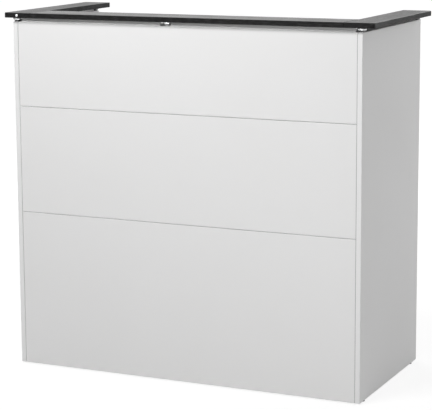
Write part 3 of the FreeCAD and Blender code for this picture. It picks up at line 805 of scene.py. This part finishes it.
# %% Screws
HEAD_HEIGHT = 2.6
PAN_HEAD = (
    (2.6, 0), (3.4, -0.35), (3.9, -1.1), (4.0, -1.9), (3.9, -HEAD_HEIGHT),
    (2.0, -HEAD_HEIGHT), (1.9, -14), (0.5, -16.5),
)
HOLE_FROM_BEND = 22 * MM
HOLE_FROM_END = 40 * MM
GAUGE = 3 * MM
screw_places = []
for name, inward in (("bracket_left", 1), ("bracket_right", -1)):
    low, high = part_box(name)
    wall = low.x if inward > 0 else high.x
    for y in (low.y + HOLE_FROM_END, high.y - HOLE_FROM_END):
        screw_places.append(((wall + inward * GAUGE, y, high.z - HOLE_FROM_BEND), (inward, 0, 0)))
        screw_places.append(((wall + inward * HOLE_FROM_BEND, y, high.z - GAUGE), (0, 0, -1)))
low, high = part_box("bracket_front")
for x in (low.x + HOLE_FROM_END, high.x - HOLE_FROM_END):
    screw_places.append(((x, low.y + GAUGE, high.z - HOLE_FROM_BEND), (0, 1, 0)))
    screw_places.append(((x, low.y + HOLE_FROM_BEND, high.z - GAUGE), (0, 0, -1)))
screw = driven_head(PAN_HEAD, arm=1.9, width=0.9, depth=1.5)
bmesh.ops.translate(screw, vec=(0, 0, HEAD_HEIGHT * MM), verts=screw.verts)
screws = repeated(screw, [facing(place, outward) for place, outward in screw_places])
piece("pan_head_screws", screws, "zinc_steel", "desk", "bracket_screws")

# %% [markdown]
# ## Cam drums
#
# The boards are pulled together by cam drums let into their hidden faces. Each has a thin flange that
# covers the rim of its hole and a deep cross for the driver. They show from behind, on the backs of the
# fronts. A drum is a short, wide head, so the function that makes the screws makes the drums too.

# %% Cams
CAM_FROM_END = 34 * MM
FLANGE_HEIGHT = 0.5
CAM_RIM = ((7.2, 0), (8.0, -0.15), (8.3, -FLANGE_HEIGHT), (7.4, -FLANGE_HEIGHT), (7.4, -12.5))
cam_places = []
for name in ("front_panel_lower", "front_panel_middle", "front_panel_upper"):
    low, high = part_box(name)
    for x in (low.x + CAM_FROM_END, high.x - CAM_FROM_END):
        cam_places.append(((x, high.y, (low.z + high.z) / 2), (0, 1, 0)))
for name in ("top_rail", "counter_front"):
    low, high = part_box(name)
    for x in (low.x + CAM_FROM_END, high.x - CAM_FROM_END):
        cam_places.append(((x, (low.y + high.y) / 2, low.z), (0, 0, -1)))
cam = driven_head(CAM_RIM, arm=4.6, width=1.9, depth=2.6)
bmesh.ops.translate(cam, vec=(0, 0, FLANGE_HEIGHT * MM), verts=cam.verts)
cams = repeated(cam, [facing(place, outward) for place, outward in cam_places])
piece("cam_drums", cams, "zinc_steel", "desk", "cam_housings")

# %% [markdown]
# ## Pressed angles under the worktop
#
# Three steel angles carry the worktop. A pressed angle has a round bend, and the free corners of its
# legs are clipped round so that nobody scratches a knee. Two plates set square would have neither. The
# section is a face of six corners, drawn out along its length, and only the edges that the press rounds
# are bevelled.

# %% Angles
BEND_OUTSIDE = 4.5
BEND_INSIDE = 1.8
LEG_CORNER = 7.0
BURR = 0.3
NEAR = 0.01 * MM


def pressed_angle(leg, length):
    """An angle against the plane X = 0, its top on Z = 0, its length along Y."""
    section = ((0, -leg), (0, 0), (leg, 0), (leg, -GAUGE), (GAUGE, -GAUGE), (GAUGE, -leg))
    shape = drawn_out([(x, -length / 2, z) for x, z in section], (0, length, 0))

    def edges_at(x, z):
        return [edge for edge in shape.edges
                if all((vert.co - Vector((x, vert.co.y, z))).length < NEAR for vert in edge.verts)]

    corners = [edge for edge in shape.edges if abs(edge.calc_length() - GAUGE) < NEAR
               and edge.verts[0].co.y == edge.verts[1].co.y]
    rounded(shape, corners, LEG_CORNER, segments=5)
    rounded(shape, edges_at(0, 0), BEND_OUTSIDE, segments=5)
    rounded(shape, edges_at(GAUGE, -GAUGE), BEND_INSIDE, segments=4)
    soften(shape, BURR, segments=1, from_angle=60)
    return shape


for name, turn_degrees in (("bracket_left", 0), ("bracket_front", 90), ("bracket_right", 180)):
    low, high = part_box(name)
    length = max(high.x - low.x, high.y - low.y)
    corner = {0: (low.x, 0, high.z), 90: (0, low.y, high.z), 180: (high.x, 0, high.z)}[turn_degrees]
    angle = pressed_angle(high.z - low.z, length)
    angle.transform(Matrix.Translation(corner) @ Matrix.Rotation(math.radians(turn_degrees), 4, "Z"))
    piece(f"pressed_{name}", angle, "painted_steel", "desk", name)

# %% [markdown]
# ## Cable outlet
#
# A moulded sleeve lines the hole in the worktop, and a cap with a notch for the cables turns in it. The
# sleeve is spun, because every section of it is the same. The cap is a disc cut by three planes: what
# lies between them is taken away for the notch, and its face is set down inside a raised rim.

# %% Cable sleeve
SLEEVE_BORE = 26
SLEEVE_FOOT = -25
CAP_SEAT = 29
SEAT_HEIGHT = -1.3
SLEEVE = (
    (SLEEVE_BORE, SLEEVE_FOOT), (30.9, SLEEVE_FOOT), (30.9, 0), (36.2, 0), (37, 0.5), (36.4, 1.4),
    (34.5, 2), (29.7, 2), (CAP_SEAT, 1.4), (CAP_SEAT, SEAT_HEIGHT), (SLEEVE_BORE, SEAT_HEIGHT),
    (SLEEVE_BORE, SLEEVE_FOOT),
)
sleeve_low, sleeve_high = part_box("grommet_sleeve")
outlet = (sleeve_low + sleeve_high) / 2
worktop_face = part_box("worktop")[1].z
sleeve = spun(SLEEVE, segments=72)
bmesh.ops.translate(sleeve, vec=(outlet.x, outlet.y, worktop_face), verts=sleeve.verts)
piece("cable_sleeve", sleeve, "black_plastic", "desk", "grommet_sleeve")

# %% Cable cap
CAP_RADIUS = 28.7 * MM
NOTCH_HALF = 11 * MM
NOTCH_FROM = 12.7 * MM
CAP_RIM = 2.2 * MM
CAP_DISH = 0.5 * MM
DISH_SLOPE = 0.4 * MM
COPLANAR = 0.01
UPWARDS = 0.9
notch_planes = (
    ((-NOTCH_HALF, 0, 0), (1, 0, 0)),
    ((NOTCH_HALF, 0, 0), (1, 0, 0)),
    ((0, NOTCH_FROM, 0), (0, 1, 0)),
)


def in_notch(face):
    middle = face.calc_center_median()
    return abs(middle.x) < NOTCH_HALF and middle.y > NOTCH_FROM


lid_low, lid_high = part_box("grommet_cap")
lid = bmesh.new()
bmesh.ops.create_circle(lid, cap_ends=True, radius=CAP_RADIUS, segments=96)
for point, normal in notch_planes:
    everything = lid.verts[:] + lid.edges[:] + lid.faces[:]
    bmesh.ops.bisect_plane(lid, geom=everything, dist=MERGE_WITHIN, plane_co=point, plane_no=normal)
bmesh.ops.delete(lid, geom=[face for face in lid.faces if in_notch(face)], context="FACES")
bmesh.ops.dissolve_limit(lid, angle_limit=COPLANAR, verts=lid.verts, edges=lid.edges)
raised = bmesh.ops.extrude_face_region(lid, geom=lid.faces[:])["geom"]
bmesh.ops.translate(lid, vec=(0, 0, lid_high.z - lid_low.z), verts=verts_of(raised))
bmesh.ops.recalc_face_normals(lid, faces=lid.faces)
crown = [face for face in lid.faces if face.normal.z > UPWARDS]
bmesh.ops.inset_region(lid, faces=crown, thickness=CAP_RIM, depth=0)
bmesh.ops.inset_region(lid, faces=crown, thickness=DISH_SLOPE, depth=-CAP_DISH)
bmesh.ops.translate(lid, vec=(outlet.x, outlet.y, lid_low.z), verts=lid.verts)
soften(lid, radius=0.3, segments=2, from_angle=50)
piece("cable_cap", lid, "black_plastic", "grommet_cap", "grommet_cap")

# %% [markdown]
# ## Levelling feet
#
# Each side stands on two moulded feet that screw up and down in it. The pad has finger grips round its
# rim and the stud has a thread. A true helix costs many faces on a stud that stays inside the board, so
# the thread is a stack of ridges in the spun profile.

# %% Feet
PITCH = 1.25
RIDGE = 3.95
ROOT = 3.5
PAD = 7.5
PAD_TOP = 3.6
STUD_TOP = 32.0
FOOT_SEGMENTS = 48
GRIP_EVERY = 4
GRIP_FROM = 7.3 * MM
GRIP_SCALE = 0.94
foot_profile = [
    (0, 0), (6.2, 0), (7.1, 0.35), (PAD, 1.1), (PAD, 2.6), (7.0, 3.3), (6.2, PAD_TOP), (3.6, PAD_TOP),
]
ridge_count = int((STUD_TOP - PAD_TOP) / PITCH) - 1
for ridge in range(ridge_count):
    foot_profile.append((RIDGE, PAD_TOP + (ridge + 0.5) * PITCH))
    foot_profile.append((ROOT, PAD_TOP + (ridge + 1) * PITCH))
foot_profile += [(3.2, STUD_TOP), (0, STUD_TOP)]
for corner in ("front_left", "front_right", "rear_left", "rear_right"):
    name = f"foot_{corner}"
    low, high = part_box(name)
    foot = spun(foot_profile, FOOT_SEGMENTS)
    for vert in foot.verts:
        segment = round(math.atan2(vert.co.y, vert.co.x) / math.tau * FOOT_SEGMENTS)
        if vert.co.xy.length > GRIP_FROM and segment % GRIP_EVERY == 0:
            vert.co.xy *= GRIP_SCALE
    bmesh.ops.translate(foot, vec=((low.x + high.x) / 2, (low.y + high.y) / 2, low.z), verts=foot.verts)
    piece(f"levelling_{name}", foot, "black_plastic", name, name)

# %% [markdown]
# ## Floor
#
# The photograph is a cut-out on white. A white floor lit to pure white would flood the desk with light,
# so the floor has two faces: the desk sees a pale matt sheet, and the camera sees the same sheet with a
# glow under it, on which the desk's soft shadow still falls.

# %% Floor
FLOOR_HALF = 40.0
FLOOR_TONE = 0.60
PAGE_GLOW = 0.84
PAGE_SHEEN = 0.20
SHADOW_REACH = (1.2, 4.0)


def seen_directly(finish):
    """1 for rays from the camera, a mirror or glass, and 0 for the light that falls on the desk."""
    rays = finish.node("ShaderNodeLightPath", output="Is Camera Ray")
    for kind in ("Is Glossy Ray", "Is Transmission Ray"):
        rays = rays + finish.node("ShaderNodeLightPath", output=kind)
    return rays


def page_white():
    finish = new_finish("page_white")
    mottle = finish.noise(per_metre=2.0, detail=3.0)
    sheet_colour = finish.mix(mottle, grey(FLOOR_TONE), grey(FLOOR_TONE * 0.98))
    sheet = finish.node("ShaderNodeBsdfDiffuse", {}, {"Color": sheet_colour})
    shaded = finish.node("ShaderNodeBsdfDiffuse", {}, {"Color": grey(PAGE_SHEEN)})
    away = finish.node("ShaderNodeVectorMath", {"operation": "LENGTH"}, {0: finish.place()}, "Value")
    glow_colour = finish.mix(finish.ramp(away, *SHADOW_REACH), grey(PAGE_GLOW), grey(1.0))
    glow = finish.node("ShaderNodeEmission", {}, {"Color": glow_colour, "Strength": 1.0})
    page = finish.node("ShaderNodeAddShader", {}, {0: shaded, 1: glow})
    face = finish.node("ShaderNodeMixShader", {}, {0: seen_directly(finish), 1: sheet, 2: page})
    finish.close("ShaderNodeOutputMaterial", face)
    return finish.owner


floor_shape = bmesh.new()
bmesh.ops.create_grid(floor_shape, x_segments=1, y_segments=1, size=FLOOR_HALF)
floor_mesh = bpy.data.meshes.new("floor")
floor_shape.to_mesh(floor_mesh)
floor_shape.free()
floor_mesh.materials.append(page_white())
floor = bpy.data.objects.new("floor", floor_mesh)
scene.collection.objects.link(floor)
floor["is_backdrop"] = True

# %% [markdown]
# ## Light
#
# The front of the desk is brightest near its top and falls off towards the floor, and the side lies in
# even shade. One large lamp would light both alike. So a soft lamp high in front gives the fall-off,
# and a broad one in front and a small one low on the right light the gap under the counter and the foot
# of the fronts. Two lamps behind give the right side its even shade and the counter its sheen, and two
# more keep the clerk's place and the left side from going dark. The room itself adds only a little
# light, but mirrors show it white.


# %% Lamps
def soft_lamp(name, place, target, width, height, watts):
    """A rectangular lamp of a size in metres, turned towards a target."""
    lamp = bpy.data.lights.new(name, "AREA")
    lamp.shape = "RECTANGLE"
    lamp.size = width
    lamp.size_y = height
    lamp.energy = watts
    holder = bpy.data.objects.new(name, lamp)
    holder.location = place
    holder.rotation_euler = (Vector(target) - Vector(place)).to_track_quat("-Z", "Y").to_euler()
    scene.collection.objects.link(holder)
    print(f"lamp {name}: {watts} W")


soft_lamp("key", (-0.5, -1.9, 2.8), (0.0, -0.27, 0.7), width=1.2, height=1.0, watts=56)
soft_lamp("broad_front", (-0.6, -6.0, 1.3), (0.0, -0.27, 0.8), width=4.0, height=1.8, watts=25)
soft_lamp("low_right", (1.2, -2.0, 0.5), (0.3, -0.27, 0.3), width=1.0, height=0.6, watts=7)
soft_lamp("right_rear", (3.2, 2.4, 2.0), (0.6, 0.0, 0.6), width=1.6, height=1.6, watts=40)
soft_lamp("high_rear", (-1.6, 2.4, 4.4), (0.0, 0.0, 0.7), width=2.0, height=2.0, watts=80)
soft_lamp("clerk_side", (1.1, 4.4, 2.8), (0.0, 0.0, 0.6), width=1.8, height=1.4, watts=55)
soft_lamp("left_side", (-4.4, 0.9, 1.9), (-0.6, 0.0, 0.6), width=1.8, height=1.6, watts=40)

# %% Room
ROOM_LIGHT = 0.10
world = bpy.data.worlds.new("room")
room = Finish(world)
strength = ROOM_LIGHT + seen_directly(room) * (1 - ROOM_LIGHT)
walls = room.node("ShaderNodeBackground", {}, {"Color": grey(1.0), "Strength": strength})
room.close("ShaderNodeOutputWorld", walls)
scene.world = world

# %% [markdown]
# ## Camera
#
# The place and the lens come from a fit to the corners that the photograph shows. Its uprights are
# parallel, as a strongly shifted lens makes them. Only a little of such a shift is used here, because
# the views from other sides keep it.

# %% Camera
CAMERA_PLACE = (2.2682, -4.9273, 1.5401)
CAMERA_YAW = 24.780
CAMERA_PITCH = 9.736
CAMERA_ROLL = -0.350
LENS_MM = 141.78
SENSOR_MM = 36.0
LENS_SHIFT = -0.06
FARTHEST = 200.0

lens = bpy.data.cameras.new("camera")
lens.lens = LENS_MM
lens.sensor_width = SENSOR_MM
lens.shift_y = LENS_SHIFT
lens.clip_end = FARTHEST
camera = bpy.data.objects.new("camera", lens)
turn = Matrix.Rotation(math.radians(CAMERA_YAW), 4, "Z")
tilt = Matrix.Rotation(math.radians(90 - CAMERA_PITCH), 4, "X")
roll = Matrix.Rotation(math.radians(CAMERA_ROLL), 4, "Z")
camera.matrix_world = Matrix.Translation(CAMERA_PLACE) @ turn @ tilt @ roll
scene.collection.objects.link(camera)
scene.camera = camera
scene.view_settings.view_transform = "Standard"
print(f"camera {LENS_MM} mm at {CAMERA_PLACE}")

# %% [markdown]
# ## Size
#
# Finishes and fittings should not make the desk larger than its solids, so the box of everything that is
# shown is printed.

# %% Sizes
low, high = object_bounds()
print(f"visual box {[round(side, 4) for side in high - low]} m")
